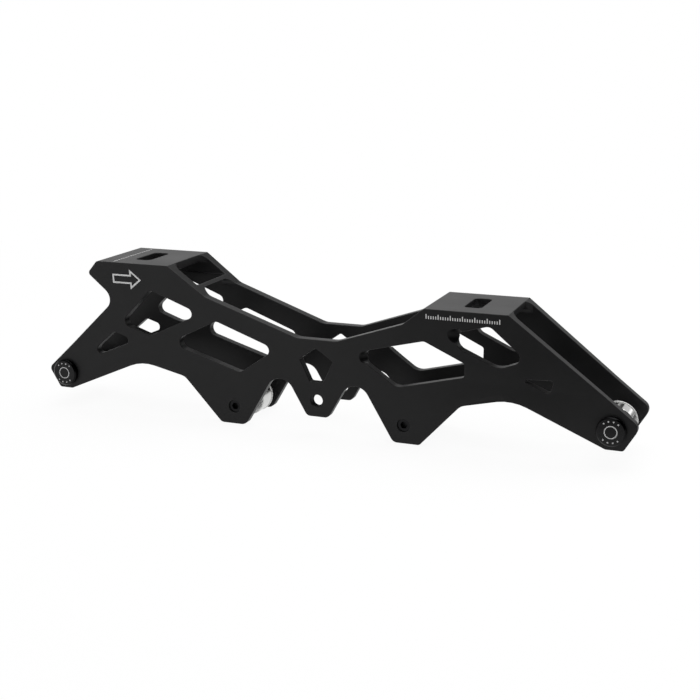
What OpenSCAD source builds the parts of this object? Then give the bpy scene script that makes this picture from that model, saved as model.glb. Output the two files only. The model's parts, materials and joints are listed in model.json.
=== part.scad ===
// Inline skate frame: one extruded and milled body, four axles, four bearing spacers.
// Millimetres. +X to the toe, +Y to the far wall, +Z up, origin in the spare centre axle seat.

/* [Layout] */
// distance between the first and the last axle
wheelbase = 271; // [263:1:279]
// middle axles, measured fore and aft from the centre seat
mid_reach = 42.4; // [41:0.1:44]
// middle axles below the line of the end axles
mid_drop = 8.2; // [6:0.1:10]
// centre seat below the line of the end axles
centre_drop = 1; // [0:0.1:2]
// distance between the two mounting slots
mount_spacing = 165; // [160:1:170]
// middle of the mounting slots ahead of the centre seat
mount_shift = -11; // [-13:0.1:-9]

/* [Walls] */
// outside width over the walls at the axles
axle_width = 33.8; // [32.5:0.1:35.5]
// outside width over the rear deck
deck_width = 41; // [38:0.1:46]
// wall thickness at the axles
wall_t = 4; // [3:0.1:4.3]
// how much thicker the walls are at the rear deck
wall_gain = 1.6; // [0:0.1:2]
// height over the end axles where the walls start to lean out
crease_height = 14.5; // [10:0.5:20]

/* [Lugs and arches] */
// bottom of the middle lugs below their axles
mid_lug = 8.5; // [7.5:0.1:10]
// bottom of the front and centre lugs below the end axles
end_lug = 8.7; // [7.5:0.1:10]
// bottom of the rear lug below its axle
rear_lug = 8.2; // [7.5:0.1:10]
// nose of the rear lug behind its axle
rear_nose = 10.1; // [8.5:0.1:12]
// nose of the front lug ahead of its axle
front_nose = 12; // [10:0.1:14]
// outer wheel arches, crown from the centre seat
arch_x = 92.1; // [90:0.1:94]
// outer wheel arches, crown over the end axles
arch_z = 8.8; // [7:0.1:10]
// inner wheel arches, crown from the centre seat
notch_x = 18.9; // [18:0.1:20]
// inner wheel arches, crown over the end axles
notch_z = 14.7; // [12:0.1:15.5]
// lowest point of the back between the decks, over the end axles
waist_z = 28.3; // [28:0.1:31]
// width of the bevel along the front wheel arch
bevel_w = 4.4; // [3:0.1:5.5]
// depth of that bevel at the arch
bevel_depth = 0.6; // [0.3:0.1:1]

/* [Decks] */
// rear deck height over the end axles
rear_height = 58.1; // [57:0.1:61]
// front deck height over the end axles
front_height = 47.1; // [46:0.1:50]
// rear deck thickness
rear_deck_t = 3.6; // [2.5:0.1:4.5]
// front deck thickness
front_deck_t = 3; // [2.2:0.1:3.6]
// rear deck, slot to heel edge
rear_back = 19.1; // [16:0.1:21]
// rear deck, slot to toe edge
rear_ahead = 19.5; // [17:0.1:22]
// front deck, slot to heel edge
front_back = 19.3; // [17:0.1:21]
// front deck, slot to toe edge
front_ahead = 18.6; // [16:0.1:21]
// top of the brace under the rear deck, over the end axles
brace_height = 48.7; // [48.3:0.1:49.6]
// brace thickness
brace_t = 1.3; // [1:0.1:2]
// fillet under the front deck
deck_fillet = 4; // [2:0.5:5]
// fillet under the brace
brace_fillet = 5; // [3:0.5:7]
// fillet in the box above the brace
box_fillet = 1; // [0.5:0.1:1.5]
// fillet between the toe edge of a deck and the walls
end_fillet = 5; // [2:0.5:6]

/* [Mounting slots] */
// slot size along the skate
slot_w = 8; // [6:0.1:10]
// slot size across the skate
slot_l = 20; // [14:0.5:22]
// slot corner radius
slot_r = 2.5; // [1:0.1:2.9]
// key opening in the brace, from the slot to the heel
key_back = 10; // [8:0.5:14]
// key opening in the brace, from the slot to the toe
key_ahead = 31.7; // [20:0.1:31.8]
// key opening in the brace, across the skate
key_l = 28; // [20:0.5:28.5]
// key opening corner radius
key_r = 2.5; // [1:0.5:5]

/* [Axles] */
// axle diameter
axle_d = 8; // [7:0.1:8.6]
// screw thread diameter
screw_d = 6; // [5:0.1:6.4]
// axle head diameter
head_d = 13; // [11:0.1:15]
// axle head height
head_h = 2.4; // [2:0.1:3.2]
// chamfer round the axle heads
head_bevel = 0.7; // [0.3:0.1:1]
// hex socket in the screw heads, across flats
key_flats = 4; // [3:0.5:5]
// depth of that socket
key_depth = 1.8; // [1:0.1:2]
// hex socket in the tip of a middle axle, across flats
tip_flats = 3; // [2:0.5:3.5]
// depth of that socket
tip_depth = 2.4; // [1:0.1:4]
// how far the tips stay inside the wall
tip_recess = 0.8; // [0.4:0.1:1.4]
// thread length of an end screw
screw_reach = 18; // [10:1:22]
// room past the end of an end screw
screw_room = 1; // [0.5:0.1:3]
// axle in its wall holes, radial clearance
hole_clear = 0.05; // [0.02:0.01:0.1]
// thread in its hole, radial clearance
thread_clear = 0.02; // [0.01:0.01:0.05]

/* [Spacers] */
// bearing spacer outside diameter
spacer_d = 16.6; // [14:0.1:18]
// bearing spacer length
spacer_l = 10.3; // [8:0.1:12]
// spacer edge chamfer
spacer_bevel = 0.6; // [0.2:0.1:1]
// spacer on its axle, radial clearance
spacer_clear = 0.06; // [0.02:0.01:0.1]
// where the front spacer sits across the frame
front_spacer_y = -4.5; // [-5:0.1:5]
// where the front middle spacer sits
front_mid_spacer_y = 0; // [-5:0.1:5]
// where the rear middle spacer sits
rear_mid_spacer_y = 3.2; // [-5:0.1:5]
// where the rear spacer sits
rear_spacer_y = 0; // [-5:0.1:5]

/* [Hidden] */
$fn = 64;
over = 12;
eps = 0.5;
arc_step = 10;
root = 0.25;
axle_line = centre_drop;
end_x = wheelbase / 2;
mid_z = axle_line - mid_drop;
rear_slot_x = mount_shift - mount_spacing / 2;
front_slot_x = mount_shift + mount_spacing / 2;
crease = axle_line + crease_height;
rear_top = axle_line + rear_height;
front_top = axle_line + front_height;
brace_top = axle_line + brace_height;
axle_half = axle_width / 2;
inner_half = axle_half - wall_t;
lean = (deck_width / 2 - axle_half) / (rear_height - crease_height);
lean_t = wall_t * sqrt(1 + lean * lean);
inner_crease = crease + (lean_t - wall_t) / lean;
gain = wall_gain / (rear_top - inner_crease);
body_len = wheelbase + 4 * over;
body_top = rear_top + over;
body_low = mid_z - 2 * over;
rear_deck_end = rear_slot_x + rear_ahead;
front_deck_end = front_slot_x + front_ahead;
arch_foot = [mid_reach + 7.5, -mid_drop - mid_lug];
arch_bend = [mid_reach + 26.3, 3.4];
arch_crown = [arch_x, arch_z];

// half widths of the leaning walls at a height
function out_half(z) = axle_half + lean * max(0, z - crease);
function in_half(z) = z < inner_crease ? inner_half : out_half(z) - lean_t - gain * (z - inner_crease);

// corner rounding: each corner is [x, z, radius], listed counter-clockwise
function flat(p) = [p[0], p[1]];
function way(a, b) = (flat(b) - flat(a)) / norm(flat(b) - flat(a));
function left_of(v) = [-v[1], v[0]];
function half_open(a, b, c) = acos(way(b, a) * way(b, c)) / 2;
function leave(a, b, c) = flat(b) + way(b, a) * b[2] / tan(half_open(a, b, c));
function middle(a, b, c) =
    let (w = way(b, a) + way(b, c))
    flat(b) + w / norm(w) * b[2] / sin(half_open(a, b, c));
function sweep(a, b, c) = sign(cross(way(a, b), way(b, c))) * (180 - 2 * half_open(a, b, c));
function swing(v, t) = [v[0] * cos(t) - v[1] * sin(t), v[0] * sin(t) + v[1] * cos(t)];
function arc(m, v, t) =
    let (n = ceil(abs(t) / arc_step))
    [for (k = [0 : n]) m + swing(v, t * k / n)];
function corner(a, b, c) =
    let (m = middle(a, b, c))
    arc(m, leave(a, b, c) - m, sweep(a, b, c));
function prior(list, i) = list[(i + len(list) - 1) % len(list)];
function after(list, i) = list[(i + 1) % len(list)];

module rounded(list) {
    polygon([for (i = [0 : len(list) - 1])
        each list[i][2] > 0 ? corner(prior(list, i), list[i], after(list, i)) : [flat(list[i])]]);
}

// a side view drawn in x and z, cut through the whole width
module through_y() {
    rotate([90, 0, 0]) linear_extrude(height = 2 * deck_width, center = true) children();
}

// a cross-section drawn in y and z, run along x
module along_x(from, to) {
    translate([from, 0, 0]) rotate([90, 0, 90]) linear_extrude(height = to - from) children();
}

// side outline of the body, over the line of the end axles
module side_outline() {
    mid = mid_reach;
    low = -mid_drop - mid_lug;
    rounded([
        // rear lug, then the rear wheel arch
        [-end_x - rear_nose, 1.5, 2.5],
        [-end_x - 4.3, -rear_lug, 1.6],
        [-end_x + 2.6, -rear_lug, 1.6],
        [-arch_x, arch_z + 0.5, 22],
        [-arch_bend[0], arch_bend[1] + 0.6, 6],
        // rear middle lug, centre lug and front middle lug
        [0.4 - arch_foot[0], low, 3],
        [-mid + 5.6, low, 4],
        [0.5 - notch_x, notch_z, 7],
        [-5, -end_lug, 3],
        [5.6, -end_lug, 3],
        [notch_x, notch_z, 7],
        [mid - 5, low, 3.4],
        [arch_foot[0], low, 2],
        [arch_bend[0], arch_bend[1], 6],
        // front wheel arch, then the front lug
        [arch_x, arch_z, 22],
        [end_x - 2.4, -end_lug, 1.6],
        [end_x + 5.3, -end_lug, 1.6],
        [end_x + front_nose, 2.5, 4],
        // decks and the hollow back between them
        [front_deck_end, front_height, 0.6],
        [front_slot_x - front_back, front_height, 0.6],
        [mid - 0.2, waist_z + 10.7, 6],
        [10.4, waist_z, 8],
        [-8.8, waist_z, 8],
        [-55.3, waist_z + 16.1, 8],
        [rear_deck_end, rear_height, 0.6],
        [rear_slot_x - rear_back, rear_height, 2],
        [rear_slot_x - rear_back - 5.5, rear_height - 6.2, 1.8],
        [rear_slot_x - 10.8, rear_height - 18.4, 5.8]
    ]);
}

// windows milled through both walls
module side_windows() {
    back = rear_slot_x;
    ahead = front_slot_x;
    mid = mid_reach;
    rounded([[back + 9, 45.7, 3], [back - 8.6, 28, 3], [back + 7.1, 22.7, 6], [back + 34.9, 35.8, 2.8]]);
    rounded([[-end_x + 28.9, 23.2, 2.5], [-end_x + 9.7, 6.6, 2], [-end_x + 36.6, 18, 1.8], [-end_x + 36.2, 21, 2]]);
    rounded([[-mid - 7.9, 32.9, 3], [-mid - 34, 20.2, 3.5], [-mid + 3.3, 8.9, 3], [-mid + 22.2, 21.7, 3]]);
    rounded([[0, 24.2, 1.5], [-8.2, 18.4, 1], [-3.2, 7.8, 1.2], [3.2, 7.8, 1.2], [8.2, 18.4, 1]]);
    rounded([
        [mid + 9.6, 32.1, 3], [mid - 24.2, 23.8, 4.2], [mid - 3.5, 9.2, 7],
        [mid + 28.2, 17, 2], [mid + 28.2, 23.4, 1.5]
    ]);
    rounded([[ahead + 10.4, 41.4, 3.5], [ahead - 13.4, 34.7, 4.6], [ahead + 14.3, 22.4, 8], [ahead + 26.7, 27.1, 3.3]]);
    rounded([[end_x - 40.5, 18.8, 0.8], [end_x - 26.9, 13.1, 1.5], [end_x - 25.3, 19.4, 1.2]]);
}

// cross-section of both walls
module wall_section() {
    for (side = [-1, 1]) {
        polygon([
            [side * axle_half, body_low], [side * axle_half, crease],
            [side * out_half(body_top), body_top], [side * in_half(body_top), body_top],
            [side * inner_half, inner_crease], [side * inner_half, body_low]
        ]);
    }
}

// right half of a web: fillet under it, seat inside the wall, fillet above it
function web_half(low, top, under, above) =
    let (a = [in_half(low - under) + root - under, low - under])
    let (b = [in_half(top + above) + root - above, top + above])
    concat(
        arc(a, [0, under], -90),
        [[in_half(low) + wall_t / 2, a[1]], [in_half(top) + wall_t / 2, b[1]]],
        arc(b, [above, 0], -90)
    );
function turned_over(list) = [for (i = [len(list) - 1 : -1 : 0]) [-list[i][0], list[i][1]]];

// web from wall to wall
module web_section(low, top, under, above) {
    half = web_half(low, top, under, above);
    polygon(concat(half, turned_over(half)));
}

// deck: a web whose toe edge runs into the walls with a fillet
module deck_web(from, end, top, t, under) {
    r = end_fillet;
    h = in_half(top) + root;
    half = concat(
        arc([end + r, h - r], [-r, 0], -90),
        [[end + r, h + wall_t / 2], [from - eps, h + wall_t / 2]]
    );
    intersection() {
        along_x(from, end + over) web_section(top - t, top + eps, under, eps);
        translate([0, 0, top - over]) linear_extrude(height = 2 * over)
            polygon(concat(half, [for (i = [len(half) - 1 : -1 : 0]) [half[i][0], -half[i][1]]]));
    }
}

// slot with rounded corners in a deck
module deck_slot(x, back, ahead, l, r, top, depth) {
    translate([x, 0, top - depth]) linear_extrude(height = depth + eps)
        rounded([[-back, -l / 2, r], [ahead, -l / 2, r], [ahead, l / 2, r], [-back, l / 2, r]]);
}

// round hole across one wall, side -1 near or +1 far
module wall_hole(x, z, d, side) {
    translate([x, side * (axle_half - wall_t / 2), z]) rotate([90, 0, 0])
        cylinder(d = d, h = wall_t + 2, center = true);
}

// shallow bevel on the outside of the front wheel arch, running out at both ends
module arch_bevel() {
    up = way(arch_foot, arch_bend);
    along = way(arch_bend, arch_crown);
    bend = arch_bend + bevel_w * (left_of(up) + left_of(along)) / (1 + up * along);
    start = bend - 11 * up;
    stop = bend + 20.5 * along;
    intersection() {
        tilted(start - [2.5, 8], start);
        tilted(start, bend);
        tilted(bend, stop);
        tilted(stop, stop + [8, -6.6]);
    }
}

// heel end of a window milled at a slant: a cone from a circle on the outside of the near wall
// to a smaller one on its inside, each given as [x, height over the end axles]
module slant_end(outside, r_out, inside, r_in) {
    top = axle_line + outside[1];
    low = axle_line + inside[1];
    from = [outside[0], -out_half(top), top];
    into = [inside[0], -in_half(low), low] - from;
    run = norm(into);
    taper = (r_out - r_in) / run;
    translate(from - into) rotate([0, acos(into[2] / run), atan2(into[1], into[0])])
        cylinder(r1 = r_out + taper * run, r2 = r_in - taper, h = 2 * run + 1);
}

// slanted heel ends of the two front windows in the near wall
module slant_ends() {
    slant_end([mid_reach - 17.5, 21.9], 3, [mid_reach - 15.1, 21.7], 2.8);
    slant_end([front_slot_x - 4.1, 35.6], 3.3, [front_slot_x - 1.3, 34.7], 2.2);
}

// everything outside a plane that sinks into the near wall to the right of a line
module tilted(a, b) {
    slope = bevel_depth / bevel_w;
    reach = 5 * over;
    dir = way(a, b);
    translate([a[0], -axle_half, a[1]]) rotate([0, -atan2(dir[1], dir[0]), 0]) rotate([90, 0, 90])
        linear_extrude(height = 10 * over, center = true)
            polygon([[-eps, eps / slope], [-eps, -reach], [slope * reach, -reach]]);
}

module frame_body() {
    color([0.16, 0.16, 0.17]) difference() {
        intersection() {
            union() {
                along_x(-body_len / 2, body_len / 2) wall_section();
                deck_web(-body_len / 2, rear_deck_end, rear_top, rear_deck_t, box_fillet);
                deck_web(mid_reach / 2, front_deck_end, front_top, front_deck_t, deck_fillet);
                along_x(-body_len / 2, -mid_reach)
                    web_section(brace_top - brace_t, brace_top, brace_fillet, box_fillet);
            }
            translate([0, 0, axle_line]) through_y() side_outline();
        }
        translate([0, 0, axle_line]) through_y() side_windows();
        deck_slot(rear_slot_x, slot_w / 2, slot_w / 2, slot_l, slot_r, rear_top, rear_deck_t + eps);
        deck_slot(front_slot_x, slot_w / 2, slot_w / 2, slot_l, slot_r, front_top, front_deck_t + eps);
        deck_slot(rear_slot_x, key_back, key_ahead, key_l, key_r, brace_top, brace_t + brace_fillet);
        for (side = [-1, 1]) {
            wall_hole(-end_x, axle_line, axle_d + 2 * hole_clear, side);
            wall_hole(end_x, axle_line, axle_d + 2 * hole_clear, side);
        }
        for (x = [-mid_reach, mid_reach]) {
            wall_hole(x, mid_z, screw_d + 2 * thread_clear, -1);
            wall_hole(x, mid_z, axle_d + 2 * hole_clear, 1);
        }
        wall_hole(0, 0, screw_d + 2 * thread_clear, -1);
        wall_hole(0, 0, axle_d + 2 * hole_clear, 1);
        translate([0, 0, axle_line]) arch_bevel();
        mirror([0, 1, 0]) translate([0, 0, axle_line]) arch_bevel();
        slant_ends();
        mirror([0, 1, 0]) slant_ends();
    }
}

// a part turned about an axle, drawn along +Y
module turned(x, z) {
    translate([x, 0, z]) rotate([-90, 0, 0]) children();
}

// round head with a chamfered rim, standing on z = 0
module head() {
    cylinder(d = head_d, h = head_h - head_bevel);
    translate([0, 0, head_h - head_bevel])
        cylinder(d1 = head_d, d2 = head_d - 2 * head_bevel, h = head_bevel);
}

module hex(flats, depth) {
    linear_extrude(height = depth) circle(d = flats / cos(30), $fn = 6);
}

// near half of an end axle: round head, sleeve, threaded bore open to the far side
module axle_sleeve(x) {
    far_end = axle_half - tip_recess;
    color([0.08, 0.08, 0.09]) turned(x, axle_line) difference() {
        union() {
            translate([0, 0, -axle_half]) mirror([0, 0, 1]) head();
            translate([0, 0, -axle_half - eps]) cylinder(d = axle_d, h = far_end + axle_half + eps);
        }
        translate([0, 0, axle_half - screw_reach - screw_room])
            cylinder(d = screw_d + 2 * thread_clear, h = screw_reach + over);
    }
}

// far half of an end axle: socket head screw
module axle_screw(x) {
    color([0.1, 0.1, 0.11]) turned(x, axle_line) difference() {
        union() {
            translate([0, 0, axle_half]) head();
            translate([0, 0, axle_half - screw_reach]) cylinder(d = screw_d, h = screw_reach + eps);
        }
        translate([0, 0, axle_half + head_h - key_depth]) hex(key_flats, key_depth + eps);
    }
}

// one-piece middle axle: socket head on the far wall, tip screwed into the near wall
module mid_axle(x) {
    color([0.3, 0.3, 0.31]) turned(x, mid_z) difference() {
        union() {
            translate([0, 0, axle_half]) head();
            translate([0, 0, -inner_half]) cylinder(d = axle_d, h = inner_half + axle_half + eps);
            translate([0, 0, tip_recess - axle_half]) cylinder(d = screw_d, h = wall_t);
        }
        translate([0, 0, axle_half + head_h - key_depth]) hex(key_flats, key_depth + eps);
        translate([0, 0, tip_recess - axle_half - eps]) hex(tip_flats, tip_depth + eps);
    }
}

// loose bearing spacer on an axle
module spacer(x, y, z) {
    straight = spacer_l - 2 * spacer_bevel;
    color([0.8, 0.8, 0.8]) translate([0, y, 0]) turned(x, z) difference() {
        union() {
            cylinder(d = spacer_d, h = straight, center = true);
            for (end = [0, 1]) {
                mirror([0, 0, end]) translate([0, 0, straight / 2])
                    cylinder(d1 = spacer_d, d2 = spacer_d - 2 * spacer_bevel, h = spacer_bevel);
            }
        }
        cylinder(d = axle_d + 2 * spacer_clear, h = spacer_l + 2 * eps, center = true);
    }
}

frame_body();
axle_sleeve(-end_x);  // rear_axle_sleeve
axle_screw(-end_x);  // rear_axle_screw
axle_sleeve(end_x);  // front_axle_sleeve
axle_screw(end_x);  // front_axle_screw
mid_axle(-mid_reach);  // rear_mid_axle
mid_axle(mid_reach);  // front_mid_axle
spacer(-end_x, rear_spacer_y, axle_line);  // rear_spacer
spacer(-mid_reach, rear_mid_spacer_y, mid_z);  // rear_mid_spacer
spacer(mid_reach, front_mid_spacer_y, mid_z);  // front_mid_spacer
spacer(end_x, front_spacer_y, axle_line);  // front_spacer
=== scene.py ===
"""Looks of an inline skate frame: finishes, broken edges, plain marks and a soft white studio."""

import json
import math

import bmesh
import bpy
from bpy.props import FloatProperty, FloatVectorProperty, IntProperty, PointerProperty
from mathutils import Matrix, Vector
from mathutils.bvhtree import BVHTree


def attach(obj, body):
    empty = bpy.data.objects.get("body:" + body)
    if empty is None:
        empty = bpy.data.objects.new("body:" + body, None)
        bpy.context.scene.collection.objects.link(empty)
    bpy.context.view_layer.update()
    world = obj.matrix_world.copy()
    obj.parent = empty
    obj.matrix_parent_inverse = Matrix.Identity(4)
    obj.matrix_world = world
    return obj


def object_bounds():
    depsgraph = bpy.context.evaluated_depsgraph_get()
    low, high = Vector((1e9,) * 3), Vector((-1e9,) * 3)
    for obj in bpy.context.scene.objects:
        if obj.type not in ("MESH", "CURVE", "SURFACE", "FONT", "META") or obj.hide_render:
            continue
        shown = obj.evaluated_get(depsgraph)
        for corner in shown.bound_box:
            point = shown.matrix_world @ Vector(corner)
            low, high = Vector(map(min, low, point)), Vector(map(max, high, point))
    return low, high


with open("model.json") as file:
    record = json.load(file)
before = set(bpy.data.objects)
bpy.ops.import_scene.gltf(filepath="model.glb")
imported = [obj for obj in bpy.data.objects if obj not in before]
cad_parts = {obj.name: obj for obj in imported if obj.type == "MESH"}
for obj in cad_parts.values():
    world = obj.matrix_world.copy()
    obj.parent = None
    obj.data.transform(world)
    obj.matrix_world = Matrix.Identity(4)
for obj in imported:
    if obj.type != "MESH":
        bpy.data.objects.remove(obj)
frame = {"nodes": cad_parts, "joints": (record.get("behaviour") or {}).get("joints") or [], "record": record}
CAD_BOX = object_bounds()

bl_info = {
    "name": "Inline Skate Frame",
    "version": (1, 0, 0),
    "blender": (4, 5, 0),
    "location": "View3D > Sidebar > Skate Frame",
    "description": "Finishes, marks and studio of an inline skate frame",
    "category": "Object",
}

MM = 0.001
AXLE = {j["name"].removesuffix("_spacer_spin"): Vector(j["pos_m"]) for j in frame["joints"]}
MOUNT = {m["name"]: m for m in frame["record"]["mounts"]}

# Edge breaks: what counts as one point, as one flat face and as a sharp edge
WELD_GAP = 0.002 * MM
FLAT_ANGLE = math.radians(0.3)
SHARP_ANGLE = math.radians(28)
BREAK_SEGMENTS = 2
FACE_WEIGHT = 100

# Spacer rim: height over the barrel and depth from the far end, in mm
RIM_PROFILE = ((-0.3, 0.62), (0.2, 0.62), (0.3, 0.72), (0.3, 1.3), (0.2, 1.4), (-0.3, 1.4))
RIM_SIDES = 72

# Thread ridge: half widths in pitches, and how fast and how low it runs out at its ends
THREAD_SIDES = 48
THREAD_SINK = 0.05 * MM
ROOT_HALF = 0.45
CREST_HALF = 0.07
RUN_OUT = 6
LEAST_HEIGHT = 0.05

# Printed marks: where rays towards a surface start, and corners of the round shapes
RAY_START = 10 * MM
LONG_TICK_EVERY = 5
RING_SIDES = 40
DOT_SIDES = 14
DOT_STEPS = (-1.5, -0.5, 0.5, 1.5)

# Shader values that the finishes share
EDGE_SAMPLES = 6
EDGE_GAIN = 5.0
RIM_BLUR = 0.2 * MM
END_FACE = 0.7
ROUGH_SPREAD = 0.05

# Stage: floor, dome of the studio as directions, softboxes with the setting of their power, camera
FLOOR_HALF = 4.0
FLOOR_GAP = 0.2 * MM
FLOOR_FADE = (0.2, 0.6)
PATCH_CORE = 0.5
DOME_RISE = (0.1, 0.65)
BACKDROP_SIDE = (-0.2, 0.0)
SOFTBOXES = (
    ("top_softbox", (0.1, 0.2, 0.95), 1.1, "top_power"),
    ("front_softbox", (-0.7, -1.0, 0.5), 0.9, "side_power"),
    ("back_softbox", (0.6, 1.1, 0.55), 0.9, "side_power"),
)
SENSOR = 36.0
VIEW_DEPTH = (0.01, 20.0)


# Settings


class FinishSettings(bpy.types.PropertyGroup):
    """Colours and surface values of the metal finishes."""

    anodised: FloatVectorProperty(
        name="Anodised black", description="Colour of the body", subtype="COLOR",
        size=3, min=0, max=1, default=(0.0112, 0.0112, 0.0115))
    worn_edge: FloatVectorProperty(
        name="Edge tone", description="Colour of the body along its broken edges", subtype="COLOR",
        size=3, min=0, max=1, default=(0.034, 0.034, 0.035))
    # Painted shade: the cuts that slant into the walls are darkened by the way they face the light.
    cut_shade_colour: FloatVectorProperty(
        name="Cut dark", description="Colour of the cuts that slant into the walls",
        subtype="COLOR", size=3, min=0, max=1, default=(0.004, 0.004, 0.0042))
    anodised_rough: FloatProperty(
        name="Anodised roughness", description="Satin level of the body", subtype="FACTOR",
        min=0, max=1, default=0.38)
    blast_grain: FloatProperty(
        name="Blast grain", description="Size of the grain left by bead blasting", unit="LENGTH",
        min=0.0001, default=0.00045)
    edge_break: FloatProperty(
        name="Edge break", description="Width of the broken edges of the body", unit="LENGTH",
        min=0, default=0.00032)
    head_black: FloatVectorProperty(
        name="Head black", description="Colour of the end axles", subtype="COLOR",
        size=3, min=0, max=1, default=(0.005, 0.005, 0.0054))
    # Painted shadow: the rim of each axle head is coloured as a dark ring of shade.
    head_rim_shade: FloatVectorProperty(
        name="Head rim", description="Colour of the rims of the axle heads", subtype="COLOR",
        size=3, min=0, max=1, default=(0.01, 0.01, 0.0105))
    head_rim_radius: FloatProperty(
        name="Head rim radius", description="Radius at which the rim of an axle head begins",
        unit="LENGTH", min=0, default=0.00575)
    dark_steel: FloatVectorProperty(
        name="Dark steel", description="Colour of the middle axles", subtype="COLOR",
        size=3, min=0, max=1, default=(0.02, 0.02, 0.021))
    ground_seat: FloatVectorProperty(
        name="Ground seat", description="Colour of the middle axles where the bearings sit",
        subtype="COLOR", size=3, min=0, max=1, default=(0.55, 0.55, 0.55))
    ground_half: FloatProperty(
        name="Ground half length", description="Half the length of the ground seat", unit="LENGTH",
        min=0, default=0.0125)
    axle_break: FloatProperty(
        name="Axle edge break", description="Width of the broken edges of the axles",
        unit="LENGTH", min=0, default=0.00012)
    turned_bright: FloatVectorProperty(
        name="Turned aluminium", description="Colour of the spacers", subtype="COLOR",
        size=3, min=0, max=1, default=(0.78, 0.78, 0.77))
    # Painted highlight: the spacer rims are a lighter, less metallic copy of the turned aluminium, for the
    # bright line along their edge.
    rim_highlight: FloatVectorProperty(
        name="Rim aluminium", description="Colour of the polished rims of the spacers",
        subtype="COLOR", size=3, min=0, max=1, default=(0.86, 0.86, 0.85))
    spacer_break: FloatProperty(
        name="Spacer edge break", description="Width of the broken edges of the spacers",
        unit="LENGTH", min=0, default=0.0001)
    feed_mark: FloatProperty(
        name="Feed mark", description="Spacing of the turning marks", unit="LENGTH",
        min=0.00005, default=0.00022)
    # Painted shade: the thread is coloured dark for the shade inside the centre hole.
    thread_shade: FloatVectorProperty(
        name="Thread dark", description="Colour of the thread in the centre hole", subtype="COLOR",
        size=3, min=0, max=1, default=(0.032, 0.032, 0.0336))
    thread_pitch: FloatProperty(
        name="Thread pitch", description="Rise of the thread in one turn", unit="LENGTH",
        min=0.0001, default=0.001)
    thread_depth: FloatProperty(
        name="Thread depth", description="Height of the thread's ridge", unit="LENGTH",
        min=0, default=0.0005)


class MarkSettings(bpy.types.PropertyGroup):
    """Places and sizes of the plain printed marks."""

    ink: FloatVectorProperty(
        name="Ink", description="Colour of the marks on the body", subtype="COLOR",
        size=3, min=0, max=1, default=(0.62, 0.62, 0.62))
    head_ink: FloatVectorProperty(
        name="Head ink", description="Colour of the marks on the axle heads", subtype="COLOR",
        size=3, min=0, max=1, default=(0.465, 0.465, 0.465))
    film: FloatProperty(
        name="Film", description="Thickness of the printed film", unit="LENGTH",
        min=0.00001, default=0.00003)
    arrow_place: FloatVectorProperty(
        name="Arrow place", description="Middle of the forward arrow, x and z", size=2,
        unit="LENGTH", default=(-0.0964, 0.0512))
    arrow_length: FloatProperty(
        name="Arrow length", description="Length of the forward arrow", unit="LENGTH",
        default=0.0155)
    arrow_height: FloatProperty(
        name="Arrow height", description="Height of the forward arrow's head", unit="LENGTH",
        default=0.0098)
    arrow_head: FloatProperty(
        name="Arrow head", description="Length of the arrow's head as a share of its height",
        subtype="FACTOR", min=0, max=1, default=0.62)
    arrow_shaft: FloatProperty(
        name="Arrow shaft", description="Height of the arrow's shaft as a share of its head's",
        subtype="FACTOR", min=0, max=1, default=0.46)
    stroke: FloatProperty(
        name="Stroke", description="Width of the arrow's outline", unit="LENGTH", default=0.0008)
    rule_place: FloatVectorProperty(
        name="Rule place", description="Rear end of the tick rule, x and z", size=2,
        unit="LENGTH", default=(0.0532, 0.04365))
    rule_length: FloatProperty(
        name="Rule length", description="Length of the tick rule", unit="LENGTH", default=0.033)
    rule_ticks: IntProperty(
        name="Rule ticks", description="Spaces between the ticks", min=1, default=30)
    tick_width: FloatProperty(
        name="Tick width", description="Width of a tick", unit="LENGTH", default=0.00042)
    tick_height: FloatProperty(
        name="Tick height", description="Height of a short tick", unit="LENGTH", default=0.00135)
    long_tick: FloatProperty(
        name="Long tick", description="Height of a long tick", unit="LENGTH", default=0.0022)
    deck_line_back: FloatProperty(
        name="Deck line place", description="From the middle of the rear slot back to the line",
        unit="LENGTH", default=0.0109)
    deck_line_share: FloatProperty(
        name="Deck line share", description="Share of the deck's width that the line covers",
        subtype="FACTOR", min=0, max=1, default=0.9)
    dash_count: IntProperty(
        name="Dashes", description="Number of dashes in the deck line", min=1, default=17)
    dash_width: FloatProperty(
        name="Dash width", description="Width of the deck line", unit="LENGTH", default=0.00055)
    dash_share: FloatProperty(
        name="Dash share", description="Share of the deck line that is printed",
        subtype="FACTOR", min=0, max=1, default=0.68)
    ring_outer: FloatProperty(
        name="Ring outer radius", description="Outer radius of the ring on the axle heads",
        unit="LENGTH", default=0.0029)
    ring_inner: FloatProperty(
        name="Ring inner radius", description="Inner radius of the ring on the axle heads",
        unit="LENGTH", default=0.00245)
    dot_radius: FloatProperty(
        name="Dot radius", description="Radius of the dots on the axle heads", unit="LENGTH",
        default=0.00036)
    dot_circle: FloatProperty(
        name="Dot circle", description="Radius of the circle that the dots stand on",
        unit="LENGTH", default=0.00475)
    dot_step: FloatProperty(
        name="Dot step", description="Turn from one dot to the next", subtype="ANGLE",
        default=math.radians(27))


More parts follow.
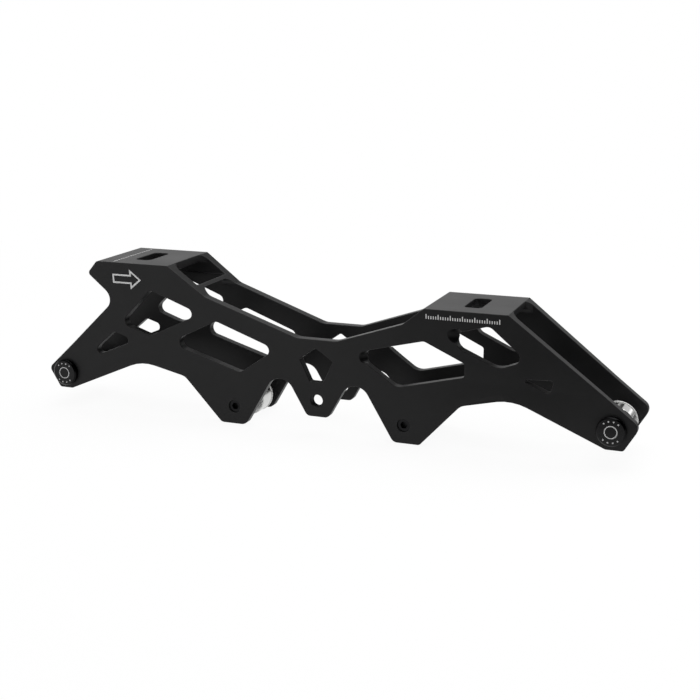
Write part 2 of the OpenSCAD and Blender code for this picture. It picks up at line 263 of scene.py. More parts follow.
class StageSettings(bpy.types.PropertyGroup):
    """Camera, floor and lights."""

    camera_place: FloatVectorProperty(
        name="Camera place", description="Where the camera stands", subtype="XYZ", size=3,
        unit="LENGTH", default=(0.217878, -0.525995, 0.166078))
    azimuth: FloatProperty(
        name="Azimuth", description="Camera round the object", subtype="ANGLE",
        default=math.radians(21.56))
    elevation: FloatProperty(
        name="Elevation", description="Camera above the horizon", subtype="ANGLE",
        default=math.radians(14.378))
    roll: FloatProperty(
        name="Roll", description="Camera about its own line of sight", subtype="ANGLE",
        default=math.radians(-0.291))
    lens: FloatProperty(
        name="Lens", description="Focal length, mm on a 36 mm sensor", default=64.312)
    floor_tone: FloatProperty(
        name="Floor tone", description="Paleness of the floor", subtype="FACTOR", min=0, max=1,
        default=0.9)
    floor_glow: FloatProperty(
        name="Floor white", description="Share of plain white in the floor as it is seen",
        subtype="FACTOR", min=0, max=1, default=0.93)
    floor_mirror: FloatProperty(
        name="Floor mirror", description="Tone of the floor as metal mirrors it",
        subtype="FACTOR", min=0, max=1, default=0.8)
    # Painted shade: two dark patches on the floor, seen only in reflections, for the shade near the toe and
    # behind it.
    shade_place: FloatVectorProperty(
        name="Shade place", description="Middle of the dark patch of floor that the toe mirrors",
        subtype="XYZ", size=3, unit="LENGTH", default=(0.1, -0.2, 0.0))
    shade_reach: FloatProperty(
        name="Shade reach", description="How far the dark patch of floor reaches", unit="LENGTH",
        min=0, default=0.155)
    shade_tone: FloatProperty(
        name="Shade tone", description="Tone of the dark patch of floor", subtype="FACTOR",
        min=0, max=1, default=0.0)
    back_place: FloatVectorProperty(
        name="Back shade place", description="Middle of the dark patch of floor behind the toe",
        subtype="XYZ", size=3, unit="LENGTH", default=(0.3, 0.45, 0.0))
    back_reach: FloatProperty(
        name="Back shade reach", description="How far the patch behind the toe reaches",
        unit="LENGTH", min=0, default=0.55)
    back_tone: FloatProperty(
        name="Back shade tone", description="Tone of the patch behind the toe", subtype="FACTOR",
        min=0, max=1, default=0.12)
    sky_level: FloatProperty(
        name="Sky level", description="Light from all round", min=0, default=0.35)
    horizon: FloatProperty(
        name="Horizon", description="Tone of the walls of the studio as metal mirrors them",
        subtype="FACTOR", min=0, max=1, default=0.92)
    ceiling: FloatProperty(
        name="Ceiling", description="Tone of the ceiling as metal mirrors it",
        subtype="FACTOR", min=0, max=1, default=0.25)
    backdrop: FloatProperty(
        name="Backdrop", description="Share of the walls' tone left on the side of the toe",
        subtype="FACTOR", min=0, max=1, default=0.07)
    strip_place: FloatProperty(
        name="Strip place", description="Sideways direction of the bright strip on that side",
        min=-1, max=1, default=0.29)
    strip_width: FloatProperty(
        name="Strip width", description="Half width of that strip, as a direction",
        min=0, default=0.025)
    strip_tone: FloatProperty(
        name="Strip tone", description="Share of the walls' tone in that strip",
        subtype="FACTOR", min=0, max=1, default=0.9)
    top_power: FloatProperty(
        name="Top light", description="Overhead softbox, watts", min=0, default=11.0)
    side_power: FloatProperty(
        name="Side light", description="Side softboxes, watts", min=0, default=1.5)


# Shader nodes


def plug(tree, socket, value):
    """Feeds a socket from another socket, or sets it to a plain value."""
    if isinstance(value, bpy.types.NodeSocket):
        tree.links.new(value, socket)
    else:
        socket.default_value = value


def math_node(tree, operation, *values, clamp=False):
    """The result of a math node; the values are sockets or numbers."""
    node = tree.nodes.new("ShaderNodeMath")
    node.operation = operation
    node.use_clamp = clamp
    for socket, value in zip(node.inputs, values):
        plug(tree, socket, value)
    return node.outputs[0]


def vector_node(tree, operation, *values):
    """The outputs of a vector math node; the values are sockets or vectors."""
    node = tree.nodes.new("ShaderNodeVectorMath")
    node.operation = operation
    for socket, value in zip(node.inputs, values):
        plug(tree, socket, value)
    return node.outputs


def coordinates(tree):
    """The texture coordinates of the surface."""
    return tree.nodes.new("ShaderNodeTexCoord").outputs


def split(tree, vector):
    """The X, Y and Z of a vector."""
    node = tree.nodes.new("ShaderNodeSeparateXYZ")
    tree.links.new(vector, node.inputs[0])
    return node.outputs


def noise_node(tree, vector, scale, detail):
    """A noise texture's value; scale is a socket or a number."""
    node = tree.nodes.new("ShaderNodeTexNoise")
    node.inputs["Detail"].default_value = detail
    tree.links.new(vector, node.inputs["Vector"])
    plug(tree, node.inputs["Scale"], scale)
    return node.outputs["Fac"]


def ramp(tree, value, ends, span=(0.0, 1.0), soft=False):
    """A number that goes from one end to the other as value goes over the span."""
    node = tree.nodes.new("ShaderNodeMapRange")
    if soft:
        node.interpolation_type = "SMOOTHSTEP"
    tree.links.new(value, node.inputs["Value"])
    for label, number in zip(("From Min", "From Max", "To Min", "To Max"), (*span, *ends)):
        node.inputs[label].default_value = number
    return node.outputs["Result"]


def mixed_colour(tree, mask, low, high):
    """A colour between low and high, by mask; either end may be a socket."""
    mix = tree.nodes.new("ShaderNodeMix")
    mix.data_type = "RGBA"
    tree.links.new(mask, mix.inputs["Factor"])
    ends = [s for s in mix.inputs if s.type == "RGBA"]
    for socket, value in zip(ends, (low, high)):
        if not isinstance(value, bpy.types.NodeSocket):
            value = (*value, 1.0)
        plug(tree, socket, value)
    return [s for s in mix.outputs if s.type == "RGBA"][0]


def mottled(tree, mask, colour, low, high):
    """A colour that goes from low to high times itself, by mask."""
    return mixed_colour(tree, mask, [c * low for c in colour], [c * high for c in colour])


# Shader groups shared by the finishes


def shader_group(name, inputs, outputs):
    """An empty node group with these sockets, and its two end nodes."""
    tree = bpy.data.node_groups.new(name, "ShaderNodeTree")
    for label, kind, value in inputs:
        socket = tree.interface.new_socket(label, in_out="INPUT", socket_type=kind)
        socket.default_value = value
    for label in outputs:
        tree.interface.new_socket(label, in_out="OUTPUT", socket_type="NodeSocketFloat")
    return tree, tree.nodes.new("NodeGroupInput"), tree.nodes.new("NodeGroupOutput")


def blast_grain_group():
    """Fine blasted grain and the slow change of tone over a blasted face."""
    tree, start, end = shader_group(
        "blast_grain", [("Grain", "NodeSocketFloat", 0.0004)], ["Height", "Tone"])
    place = coordinates(tree)["Object"]
    fine = math_node(tree, "DIVIDE", 1.0, start.outputs["Grain"])
    tree.links.new(noise_node(tree, place, scale=fine, detail=3.0), end.inputs["Height"])
    tree.links.new(noise_node(tree, place, scale=55.0, detail=4.0), end.inputs["Tone"])
    return tree


def edge_line_group():
    """Mask of a narrow band along the edges."""
    tree, start, end = shader_group("edge_line", [("Width", "NodeSocketFloat", 0.0005)], ["Mask"])
    bevel = tree.nodes.new("ShaderNodeBevel")
    bevel.samples = EDGE_SAMPLES
    tree.links.new(start.outputs["Width"], bevel.inputs["Radius"])
    here = tree.nodes.new("ShaderNodeNewGeometry").outputs["Normal"]
    alike = vector_node(tree, "DOT_PRODUCT", bevel.outputs["Normal"], here)["Value"]
    turn = math_node(tree, "SUBTRACT", 1.0, alike, clamp=True)
    tree.links.new(math_node(tree, "MULTIPLY", turn, EDGE_GAIN, clamp=True), end.inputs["Mask"])
    return tree


def turning_group():
    """Turning marks round an axle: rings on the ends, bands along the barrel."""
    tree, start, end = shader_group(
        "turning_marks",
        [("Centre", "NodeSocketVector", (0, 0, 0)), ("Feed", "NodeSocketFloat", 0.0002),
         ("Wave", "NodeSocketFloat", 0.25)],
        ["Height", "Tone", "Radius", "Along"])
    place = coordinates(tree)["Object"]
    away = split(tree, vector_node(tree, "SUBTRACT", place, start.outputs["Centre"])["Vector"])
    square = [math_node(tree, "MULTIPLY", away[k], away[k]) for k in ("X", "Z")]
    radius = math_node(tree, "SQRT", math_node(tree, "ADD", *square))
    path = math_node(tree, "ADD", radius, away["Y"])
    count = math_node(tree, "DIVIDE", path, start.outputs["Feed"])
    wave = math_node(tree, "SINE", math_node(tree, "MULTIPLY", count, 2 * math.pi))
    uneven = tree.nodes.new("ShaderNodeTexNoise")
    uneven.noise_dimensions = "1D"
    uneven.inputs["Scale"].default_value = 0.35
    uneven.inputs["Detail"].default_value = 3.0
    tree.links.new(count, uneven.inputs["W"])
    tone = uneven.outputs["Fac"]
    height = math_node(tree, "MULTIPLY_ADD", wave, start.outputs["Wave"], tone)
    results = {"Height": height, "Tone": tone, "Radius": radius, "Along": away["Y"]}
    for label, socket in results.items():
        tree.links.new(socket, end.inputs[label])
    return tree


def cut_shade_group():
    """Mask of the slanted cuts in a wall that get painted shade: window ends that look to the toe, the arch
    bevel.
    """
    tree, start, end = shader_group(
        "cut_faces",
        [("Slant", "NodeSocketFloat", 0.25), ("Droop", "NodeSocketFloat", 0.1),
         ("Ends", "NodeSocketFloat", 0.45), ("Bevel", "NodeSocketFloat", 0.3)],
        ["Mask"])
    given = start.outputs
    coords = coordinates(tree)
    normal = split(tree, coords["Normal"])
    outward = math_node(tree, "SIGN", split(tree, coords["Object"])["Y"])
    side = math_node(tree, "MULTIPLY", normal["Y"], outward)
    down = math_node(tree, "MULTIPLY", normal["Z"], -1.0)

    def over(value, limit, gain):
        past = math_node(tree, "SUBTRACT", value, limit)
        return math_node(tree, "MULTIPLY", past, gain, clamp=True)

    def both(a, b, share):
        return math_node(tree, "MULTIPLY", math_node(tree, "MULTIPLY", a, b), share)

    ends = both(
        over(normal["X"], given["Slant"], gain=6.0), over(side, given["Slant"], gain=6.0),
        given["Ends"])
    low = both(
        over(down, given["Droop"], gain=40.0), over(side, limit=0.9, gain=12.0), given["Bevel"])
    tree.links.new(math_node(tree, "MAXIMUM", ends, low), end.inputs["Mask"])
    return tree


GROUP_MAKERS = {
    "blast_grain": blast_grain_group,
    "cut_faces": cut_shade_group,
    "edge_line": edge_line_group,
    "turning_marks": turning_group,
}


def place_group(tree, name, **values):
    """One shared group placed in a material, with that material's own values."""
    node = tree.nodes.new("ShaderNodeGroup")
    node.node_tree = bpy.data.node_groups.get(name) or GROUP_MAKERS[name]()
    for label, value in values.items():
        node.inputs[label].default_value = value
    return node.outputs


# Materials


def bare_tree(owner):
    """The emptied node tree of a material or a world."""
    owner.use_nodes = True
    owner.node_tree.nodes.clear()
    return owner.node_tree


def new_finish(name, **sockets):
    """A material with one Principled shader and these constant socket values."""
    finish = bpy.data.materials.new(name)
    tree = bare_tree(finish)
    shader = tree.nodes.new("ShaderNodeBsdfPrincipled")
    out = tree.nodes.new("ShaderNodeOutputMaterial")
    tree.links.new(shader.outputs["BSDF"], out.inputs["Surface"])
    for label, value in sockets.items():
        shader.inputs[label.replace("_", " ")].default_value = value
    return finish, tree, shader


def relief(tree, shader, height, depth, strength):
    """Feeds a height to the shader's normal."""
    bump = tree.nodes.new("ShaderNodeBump")
    bump.inputs["Distance"].default_value = depth
    bump.inputs["Strength"].default_value = strength
    tree.links.new(height, bump.inputs["Height"])
    tree.links.new(bump.outputs["Normal"], shader.inputs["Normal"])


def anodised_finish(look):
    """Satin black anodising over a bead-blasted body, with painted shade on its slanted cuts."""
    finish, tree, shader = new_finish("anodised_black", Specular_IOR_Level=0.2)
    grain = place_group(tree, "blast_grain", Grain=look.blast_grain)
    edge = place_group(tree, "edge_line", Width=2 * look.edge_break)["Mask"]
    cut_shade_mask = place_group(tree, "cut_faces")["Mask"]
    tone = mottled(tree, grain["Tone"], look.anodised, low=0.82, high=1.18)
    # Painted shade on the slanted cuts: a darker colour there, and metal that mirrors.
    faces = mixed_colour(tree, cut_shade_mask, tone, look.cut_shade_colour)
    tree.links.new(mixed_colour(tree, edge, faces, look.worn_edge), shader.inputs["Base Color"])
    inside = math_node(tree, "SUBTRACT", 1.0, edge)
    tree.links.new(math_node(tree, "MULTIPLY", cut_shade_mask, inside), shader.inputs["Metallic"])
    satin = (look.anodised_rough - ROUGH_SPREAD, look.anodised_rough + ROUGH_SPREAD)
    tree.links.new(ramp(tree, grain["Tone"], satin), shader.inputs["Roughness"])
    relief(tree, shader, grain["Height"], depth=0.04 * MM, strength=0.35)
    return finish


def turned_finish(
        name, centre, colour, feed, rough, depth, rim=None, seat=None, dull_ends=0.0, **sockets):
    """Turned metal with feed marks of this depth round the axle at centre.

    Rough is the lowest and the highest roughness. Rim is a radius and the painted shadow outside it,
    seat a half length and the colour inside it; dull_ends is how little the faces square to the
    axle mirror."""
    finish, tree, shader = new_finish(name, **sockets)
    marks = place_group(tree, "turning_marks", Centre=centre, Feed=feed)
    tone = mottled(tree, marks["Tone"], colour, low=0.86, high=1.1)
    # Painted shadow: outside the rim radius the colour turns dark and the metal mirrors.
    if rim:
        radius, dark = rim
        outside = ramp(tree, marks["Radius"], (0.0, 1.0), span=(radius, radius + RIM_BLUR))
        tone = mixed_colour(tree, outside, tone, dark)
        tree.links.new(outside, shader.inputs["Metallic"])
    if seat:
        half, ground = seat
        shank = math_node(tree, "LESS_THAN", math_node(tree, "ABSOLUTE", marks["Along"]), half)
        tone = mixed_colour(tree, shank, tone, ground)
    if dull_ends:
        facing = math_node(tree, "ABSOLUTE", split(tree, coordinates(tree)["Normal"])["Y"])
        flat = math_node(tree, "GREATER_THAN", facing, END_FACE)
        tree.links.new(ramp(tree, flat, (1.0, 1.0 - dull_ends)), shader.inputs["Metallic"])
    tree.links.new(tone, shader.inputs["Base Color"])
    tree.links.new(ramp(tree, marks["Tone"], rough), shader.inputs["Roughness"])
    relief(tree, shader, marks["Height"], depth, strength=0.4)
    return finish


def ink_finish(name, colour):
    """Pale print, a little uneven."""
    finish, tree, shader = new_finish(name, Specular_IOR_Level=0.3)
    grain = place_group(tree, "blast_grain", Grain=0.3 * MM)["Height"]
    tone = mottled(tree, grain, colour, low=0.9, high=1.1)
    tree.links.new(tone, shader.inputs["Base Color"])
    tree.links.new(ramp(tree, grain, (0.5, 0.65)), shader.inputs["Roughness"])
    return finish


def dress(piece, finish):
    """Gives a piece one finish."""
    piece.data.materials.clear()
    piece.data.materials.append(finish)


# Meshes


def break_edges(piece, width):
    """Rounds the sharp edges of a CAD node by modifiers and keeps its faces flat."""
    weld = piece.modifiers.new("join_faces", "WELD")
    weld.merge_threshold = WELD_GAP
    planar = piece.modifiers.new("plain_faces", "DECIMATE")
    planar.decimate_type = "DISSOLVE"
    planar.angle_limit = FLAT_ANGLE
    bevel = piece.modifiers.new("edge_break", "BEVEL")
    bevel.width = width
    bevel.segments = BREAK_SEGMENTS
    bevel.limit_method = "ANGLE"
    bevel.angle_limit = SHARP_ANGLE
    bevel.use_clamp_overlap = False
    bevel.miter_outer = "MITER_ARC"
    bevel.loop_slide = False
    shading = piece.modifiers.new("flat_shading", "WEIGHTED_NORMAL")
    shading.mode = "FACE_AREA_WITH_ANGLE"
    shading.weight = FACE_WEIGHT


class Skin:
    """The outside of one CAD node, found by straight lines towards it."""

    def __init__(self, node):
        mesh = frame["nodes"][node].data
        mesh.calc_loop_triangles()
        corners = [v.co for v in mesh.vertices]
        self.tree = BVHTree.FromPolygons(corners, [t.vertices for t in mesh.loop_triangles])

    def hit(self, start, way, lift):
        """The node's first point on a line, lifted back against the line's way."""
        point = self.tree.ray_cast(Vector(start), Vector(way))[0]
        if point is None:
            raise RuntimeError("a mark lies beside the piece that carries it")
        return point - lift * Vector(way)

    def near_side(self, x=0.0, z=0.0):
        """Lays u and v on the side that looks to -Y, counted from x and z."""
        out = CAD_BOX[0].y - RAY_START
        return lambda u, v, lift: self.hit((x + u, out, z + v), (0, 1, 0), lift)

    def top(self):
        """Lays u and v on the side that looks up."""
        out = CAD_BOX[1].z + RAY_START
        return lambda u, v, lift: self.hit((u, v, out), (0, 0, -1), lift)


def add_piece(name, mesh, finish, body="frame"):
    """Turns a bmesh into a piece that moves with a body."""
    bmesh.ops.recalc_face_normals(mesh, faces=mesh.faces)
    data = bpy.data.meshes.new(name)
    mesh.to_mesh(data)
    mesh.free()
    piece = bpy.data.objects.new(name, data)
    bpy.context.scene.collection.objects.link(piece)
    dress(piece, finish)
    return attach(piece, body)


def bridge(mesh, a, b):
    """Joins two closed loops with as many corners by a band of faces."""
    for i in range(len(a)):
        j = (i + 1) % len(a)
        mesh.faces.new((a[i], a[j], b[j], b[i]))


def film_piece(name, shapes, lay, film, finish):
    """A printed mark: flat shapes, each a list of outlines, laid on a surface by lay(u, v, lift).

    A shape with one outline is a filled polygon; with two of equal length it is a band."""
    mesh = bmesh.new()
    for shape in shapes:
        tops = [[mesh.verts.new(lay(u, v, film)) for u, v in outline] for outline in shape]
        lows = [[mesh.verts.new(lay(u, v, -film)) for u, v in outline] for outline in shape]
        for top, low in zip(tops, lows):
            bridge(mesh, top, low)
        for loops in (tops, lows):
            if len(loops) == 1:
                mesh.faces.new(loops[0])
            else:
                bridge(mesh, *loops)
    return add_piece(name, mesh, finish)


def ring(centre, radius, count):
    """Points round a circle."""
    turns = [2 * math.pi * k / count for k in range(count)]
    return [(centre[0] + radius * math.cos(t), centre[1] + radius * math.sin(t)) for t in turns]


def bar(u, v, width, height):
    """A rectangle standing on its lower left corner."""
    return [(u, v), (u + width, v), (u + width, v + height), (u, v + height)]


def inset(outline, width):
    """The same outline, moved in by width; listed counter-clockwise."""
    moved = []
    points = [Vector(p) for p in outline]
    for i, here in enumerate(points):
        back = (here - points[i - 1]).normalized()
        on = (points[(i + 1) % len(points)] - here).normalized()
        left = Vector((-back.y, back.x))
        across = Vector((-on.y, on.x))
        moved.append(tuple(here + width * (left + across) / (1 + left.dot(across))))
    return moved


# Operators, one for each group of pieces


class SKATEFRAME_OT_body(bpy.types.Operator):
    """Break the edges of the body and give it its anodised finish"""

    bl_idname = "skate_frame.body"
    bl_label = "Body finish"

    def execute(self, context):
        look = context.scene.skate_finish
        body = frame["nodes"]["frame_body"]
        break_edges(body, look.edge_break)
        dress(body, anodised_finish(look))
        return {"FINISHED"}


class SKATEFRAME_OT_axles(bpy.types.Operator):
    """Give the end axles and the middle axles their turned steel finishes"""

    bl_idname = "skate_frame.axles"
    bl_label = "Axle finishes"

    def execute(self, context):
        look = context.scene.skate_finish
        for end in ("rear", "front"):
            black = turned_finish(
                f"{end}_head_black", AXLE[end], look.head_black, look.feed_mark,
                rough=(0.16, 0.24), depth=0.002 * MM, rim=(look.head_rim_radius, look.head_rim_shade),
                Specular_IOR_Level=0.25)
            dark = turned_finish(
                f"{end}_mid_dark_steel", AXLE[f"{end}_mid"], look.dark_steel, look.feed_mark,
                rough=(0.28, 0.42), depth=0.008 * MM, seat=(look.ground_half, look.ground_seat),
                Metallic=1.0)
            finishes = {"axle_sleeve": black, "axle_screw": black, "mid_axle": dark}
            for piece, finish in finishes.items():
                node = frame["nodes"][f"{end}_{piece}"]
                break_edges(node, look.axle_break)
                dress(node, finish)
        return {"FINISHED"}


class SKATEFRAME_OT_spacers(bpy.types.Operator):
    """Give the four loose spacers their bright turned finish and their rims"""

    bl_idname = "skate_frame.spacers"
    bl_label = "Spacer finish"

    def execute(self, context):
        look = context.scene.skate_finish
        for seat, centre in AXLE.items():
            node = frame["nodes"][f"{seat}_spacer"]
            break_edges(node, look.spacer_break)
            dress(node, turned_finish(
                f"{seat}_turned_aluminium", centre, look.turned_bright, look.feed_mark,
                rough=(0.08, 0.14), depth=0.003 * MM, dull_ends=0.8))
            # Painted highlight: a lighter, less metallic aluminium for the rims.
            bright = turned_finish(
                f"{seat}_rim_aluminium", centre, look.rim_highlight, look.feed_mark,
                rough=(0.35, 0.45), depth=0.002 * MM, Metallic=0.3)
            self.add_rim(seat, centre, [v.co for v in node.data.vertices], bright)
        return {"FINISHED"}

    @staticmethod
    def add_rim(seat, centre, corners, finish):
        """A low rim at the far end of a spacer; its lighter finish is a painted highlight along that edge.
        """
        barrel = max(math.hypot(c.x - centre.x, c.z - centre.z) for c in corners)
        far = max(c.y for c in corners)
        mesh = bmesh.new()
        loops = []
        for high, deep in RIM_PROFILE:
            circle = ring((centre.x, centre.z), barrel + high * MM, RIM_SIDES)
            loops.append([mesh.verts.new((x, far - deep * MM, z)) for x, z in circle])
        for a, b in zip(loops, loops[1:] + loops[:1]):
            bridge(mesh, a, b)
        rim = add_piece(f"{seat}_spacer_rim", mesh, finish, body=f"{seat}_ring")


class SKATEFRAME_OT_wall_marks(bpy.types.Operator):
    """Print the forward arrow, the tick rule and the deck line on the body"""

    bl_idname = "skate_frame.wall_marks"
    bl_label = "Marks on the body"

    def execute(self, context):
        mark = context.scene.skate_mark
        skin = Skin("frame_body")
        ink = ink_finish("body_print", mark.ink)
        arrow = self.arrow(mark)
        band = [arrow, inset(arrow, mark.stroke)]
        film_piece("forward_arrow", [band], skin.near_side(), mark.film, ink)
        film_piece("tick_rule", self.ticks(mark), skin.near_side(), mark.film, ink)
        film_piece("deck_line", self.dashes(mark), skin.top(), mark.film, ink)
        return {"FINISHED"}

    @staticmethod
    def arrow(mark):
        """Outline of the forward arrow."""
        x, z = mark.arrow_place
        half = mark.arrow_length / 2
        head = mark.arrow_height / 2
        neck = x + half - mark.arrow_height * mark.arrow_head
        shaft = head * mark.arrow_shaft
        return [
            (x - half, z - shaft), (neck, z - shaft), (neck, z - head), (x + half, z),
            (neck, z + head), (neck, z + shaft), (x - half, z + shaft)]

    @staticmethod
    def ticks(mark):
        """Shapes of the tick rule."""
        x, z = mark.rule_place
        step = mark.rule_length / mark.rule_ticks
        shapes = []
        for k in range(mark.rule_ticks + 1):
            tall = mark.tick_height if k % LONG_TICK_EVERY else mark.long_tick
            shapes.append([bar(x + k * step, z, mark.tick_width, tall)])
        return shapes

    @staticmethod
    def dashes(mark):
        """Shapes of the dashed line across the rear deck."""
        x = MOUNT["rear_slot"]["pos_m"][0] - mark.deck_line_back
        half = mark.deck_line_share * CAD_BOX[1].y
        step = 2 * half / mark.dash_count
        long = mark.dash_share * step
        return [[bar(x, -half + k * step, mark.dash_width, long)] for k in range(mark.dash_count)]


class SKATEFRAME_OT_head_marks(bpy.types.Operator):
    """Print the plain ring and the dots on the two blank axle heads"""

    bl_idname = "skate_frame.head_marks"
    bl_label = "Marks on the axle heads"

    def execute(self, context):
        mark = context.scene.skate_mark
        ink = ink_finish("head_print", mark.head_ink)
        shapes = [[ring((0, 0), r, RING_SIDES) for r in (mark.ring_outer, mark.ring_inner)]]
        for side in (math.pi / 2, -math.pi / 2):
            for step in DOT_STEPS:
                turn = side + step * mark.dot_step
                place = (mark.dot_circle * math.cos(turn), mark.dot_circle * math.sin(turn))
                shapes.append([ring(place, mark.dot_radius, DOT_SIDES)])
        for end in ("rear", "front"):
            head = Skin(f"{end}_axle_sleeve").near_side(AXLE[end].x, AXLE[end].z)
            film_piece(f"{end}_head_dots", shapes, head, mark.film, ink)
        return {"FINISHED"}


class SKATEFRAME_OT_seat_thread(bpy.types.Operator):
    """Add the ridge of the thread in the empty centre hole of the near wall"""

    bl_idname = "skate_frame.seat_thread"
    bl_label = "Thread of the centre seat"

    def execute(self, context):
        look = context.scene.skate_finish
        hole = MOUNT["centre_axle_thread"]
        centre = Vector(hole["pos_m"])
        wall = hole["dims"]["r_mm"] * MM
        length = hole["dims"]["length_mm"] * MM
        pitch = look.thread_pitch
        root = wall + THREAD_SINK
        count = round((length / pitch - 1) * THREAD_SIDES)
        mesh = bmesh.new()
        rows = []
        for k in range(count + 1):
            turn = 2 * math.pi * k / THREAD_SIDES
            along = centre.y - length / 2 + pitch / 2 + pitch * k / THREAD_SIDES
            fade = min(1.0, RUN_OUT * k / count, RUN_OUT * (count - k) / count)
            crest = wall - look.thread_depth * max(fade, LEAST_HEIGHT)
            row = []
            for r, shift in (
                    (root, -ROOT_HALF), (crest, -CREST_HALF), (crest, CREST_HALF), (root, ROOT_HALF)):
                x = centre.x + r * math.cos(turn)
                z = centre.z + r * math.sin(turn)
                row.append(mesh.verts.new((x, along + shift * pitch, z)))
            rows.append(row)
        for a, b in zip(rows, rows[1:]):
            bridge(mesh, a, b)
        for row in (rows[0], rows[-1]):
            mesh.faces.new(row)
        # Painted shade: the thread's dark colour stands in for the shade inside the hole.
        finish = turned_finish(
            "cut_thread", centre, look.thread_shade, look.feed_mark, rough=(0.35, 0.5),
            depth=0.004 * MM, Metallic=1.0)
        add_piece("centre_seat_thread", mesh, finish)
        return {"FINISHED"}


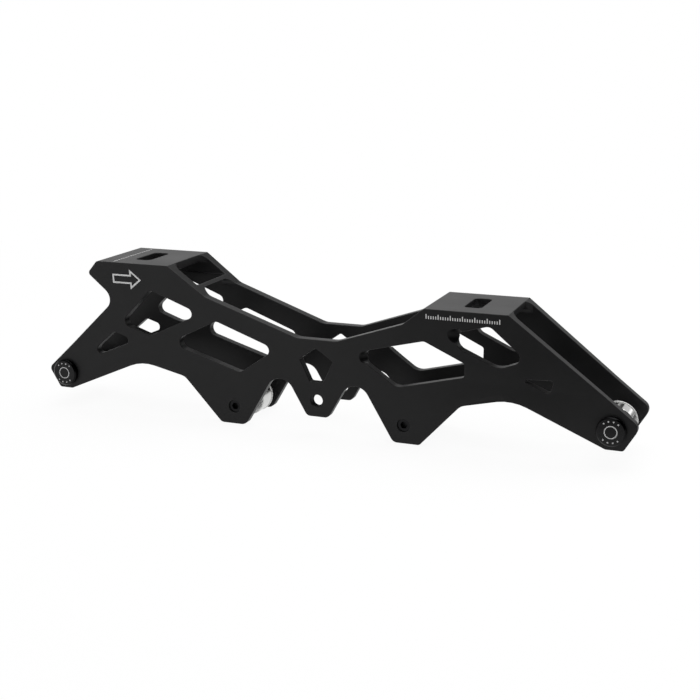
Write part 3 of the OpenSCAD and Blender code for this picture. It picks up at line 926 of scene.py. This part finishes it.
class SKATEFRAME_OT_stage(bpy.types.Operator):
    """Set up the pale floor, the soft lights, the white surroundings and the camera"""

    bl_idname = "skate_frame.stage"
    bl_label = "Stage"

    def execute(self, context):
        scene = context.scene
        stage = scene.skate_stage
        scene.view_settings.view_transform = "Standard"
        self.add_floor(scene, stage)
        self.add_sky(scene, stage)
        for name, place, size, power in SOFTBOXES:
            self.add_softbox(scene, name, Vector(place), size, getattr(stage, power))
        self.add_camera(scene, stage)
        return {"FINISHED"}

    @staticmethod
    def show_white(tree, lit, white, surface, mirrored, glow):
        """Lets the camera see plain white, by glow, and metal the mirrored tone, over a lit shader."""
        path = tree.nodes.new("ShaderNodeLightPath").outputs
        plain = math_node(tree, "MAXIMUM", path["Is Camera Ray"], path["Is Transmission Ray"])
        tree.links.new(math_node(tree, "MAXIMUM", plain, mirrored), white.inputs["Strength"])
        seen = math_node(tree, "MULTIPLY", plain, glow)
        mix = tree.nodes.new("ShaderNodeMixShader")
        tree.links.new(math_node(tree, "MAXIMUM", seen, path["Is Glossy Ray"]), mix.inputs["Fac"])
        tree.links.new(lit.outputs[0], mix.inputs[1])
        tree.links.new(white.outputs[0], mix.inputs[2])
        tree.links.new(mix.outputs["Shader"], surface)

    def add_floor(self, scene, stage):
        """A wide pale floor just under the object, with two patches of painted shade that metal mirrors
        darker.
        """
        mesh = bmesh.new()
        bmesh.ops.create_grid(mesh, x_segments=1, y_segments=1, size=FLOOR_HALF)
        data = bpy.data.meshes.new("floor")
        mesh.to_mesh(data)
        mesh.free()
        floor = bpy.data.objects.new("floor", data)
        floor.location.z = CAD_BOX[0].z - FLOOR_GAP
        scene.collection.objects.link(floor)
        finish = bpy.data.materials.new("pale_floor")
        tree = bare_tree(finish)
        paint = tree.nodes.new("ShaderNodeBsdfDiffuse")
        paint.inputs["Color"].default_value = (*[stage.floor_tone] * 3, 1.0)
        white = tree.nodes.new("ShaderNodeEmission")
        out = tree.nodes.new("ShaderNodeOutputMaterial")
        place = coordinates(tree)["Object"]
        away = vector_node(tree, "LENGTH", place)["Value"]
        glow = ramp(tree, away, (stage.floor_glow, 1.0), span=FLOOR_FADE)

        # Painted shade on the floor, darkest at a patch's middle, seen only by metal.
        def patch(middle, reach, tone):
            apart = vector_node(tree, "DISTANCE", place, middle)["Value"]
            ends = (tone, stage.floor_mirror)
            return ramp(tree, apart, ends, span=(PATCH_CORE * reach, reach), soft=True)

        front = patch(stage.shade_place, stage.shade_reach, stage.shade_tone)
        back = patch(stage.back_place, stage.back_reach, stage.back_tone)
        mirrored = math_node(tree, "MINIMUM", front, back)
        self.show_white(tree, paint, white, out.inputs["Surface"], mirrored, glow)
        data.materials.append(finish)

    def add_sky(self, scene, stage):
        """Soft light from all round, seen as white, and mirrored as a studio with a dark backdrop."""
        world = bpy.data.worlds.new("white_surroundings")
        tree = bare_tree(world)
        light = tree.nodes.new("ShaderNodeBackground")
        white = tree.nodes.new("ShaderNodeBackground")
        for background in (light, white):
            background.inputs["Color"].default_value = (1, 1, 1, 1)
        light.inputs["Strength"].default_value = stage.sky_level
        out = tree.nodes.new("ShaderNodeOutputWorld")
        way = split(tree, coordinates(tree)["Generated"])
        dome = ramp(tree, way["Z"], (stage.horizon, stage.ceiling), span=DOME_RISE, soft=True)
        side = ramp(tree, way["X"], (1.0, stage.backdrop), span=BACKDROP_SIDE, soft=True)
        apart = math_node(
            tree, "ABSOLUTE", math_node(tree, "SUBTRACT", way["X"], stage.strip_place))
        within = math_node(tree, "LESS_THAN", apart, stage.strip_width)
        strip = math_node(tree, "MULTIPLY", within, stage.strip_tone)
        tone = math_node(tree, "MAXIMUM", side, strip)
        mirrored = math_node(tree, "MULTIPLY", dome, tone)
        self.show_white(tree, light, white, out.inputs["Surface"], mirrored, glow=1.0)
        scene.world = world

    @staticmethod
    def add_softbox(scene, name, place, size, power):
        """A square lamp that looks at the object."""
        data = bpy.data.lights.new(name, "AREA")
        data.shape = "SQUARE"
        data.size = size
        data.energy = power
        lamp = bpy.data.objects.new(name, data)
        lamp.location = place
        lamp.rotation_euler = (-place).to_track_quat("-Z", "Y").to_euler()
        scene.collection.objects.link(lamp)

    @staticmethod
    def add_camera(scene, stage):
        """The camera at the photograph's viewing angle."""
        data = bpy.data.cameras.new("photo_camera")
        data.sensor_width = SENSOR
        data.lens = stage.lens
        data.clip_start, data.clip_end = VIEW_DEPTH
        camera = bpy.data.objects.new("photo_camera", data)
        a, e = stage.azimuth, stage.elevation
        back = Vector((math.sin(a) * math.cos(e), -math.cos(a) * math.cos(e), math.sin(e)))
        right = Vector((0, 0, 1)).cross(back).normalized()
        level = Matrix((right, back.cross(right), back)).transposed().to_4x4()
        turn = Matrix.Rotation(stage.roll, 4, "Z")
        camera.matrix_world = Matrix.Translation(stage.camera_place) @ level @ turn
        scene.collection.objects.link(camera)
        scene.camera = camera


class SKATEFRAME_PT_panel(bpy.types.Panel):
    """Lists the steps that dress the skate frame, and their settings"""

    bl_idname = "SKATEFRAME_PT_panel"
    bl_label = "Skate Frame"
    bl_space_type = "VIEW_3D"
    bl_region_type = "UI"
    bl_category = "Skate Frame"

    def draw(self, context):
        for step in STEPS:
            self.layout.operator(step.bl_idname)
        for name in SETTINGS:
            group = getattr(context.scene, name)
            box = self.layout.box()
            for key in group.bl_rna.properties.keys():
                if key not in {"rna_type", "name"}:
                    box.prop(group, key)


STEPS = (
    SKATEFRAME_OT_body,
    SKATEFRAME_OT_axles,
    SKATEFRAME_OT_spacers,
    SKATEFRAME_OT_wall_marks,
    SKATEFRAME_OT_head_marks,
    SKATEFRAME_OT_seat_thread,
    SKATEFRAME_OT_stage,
)
SETTINGS = {
    "skate_finish": FinishSettings,
    "skate_mark": MarkSettings,
    "skate_stage": StageSettings,
}


def register():
    """Adds the settings, the operators and the panel."""
    for cls in (*SETTINGS.values(), *STEPS, SKATEFRAME_PT_panel):
        bpy.utils.register_class(cls)
    for name, cls in SETTINGS.items():
        setattr(bpy.types.Scene, name, PointerProperty(type=cls))


def unregister():
    """Takes them out again."""
    for name in SETTINGS:
        delattr(bpy.types.Scene, name)
    for cls in reversed((*SETTINGS.values(), *STEPS, SKATEFRAME_PT_panel)):
        bpy.utils.unregister_class(cls)


def main():
    """Dresses the frame piece by piece."""
    register()
    bpy.ops.skate_frame.body()
    bpy.ops.skate_frame.axles()
    bpy.ops.skate_frame.spacers()
    bpy.ops.skate_frame.wall_marks()
    bpy.ops.skate_frame.head_marks()
    bpy.ops.skate_frame.seat_thread()
    bpy.ops.skate_frame.stage()
    bpy.context.view_layer.update()


if __name__ == "__main__":
    main()
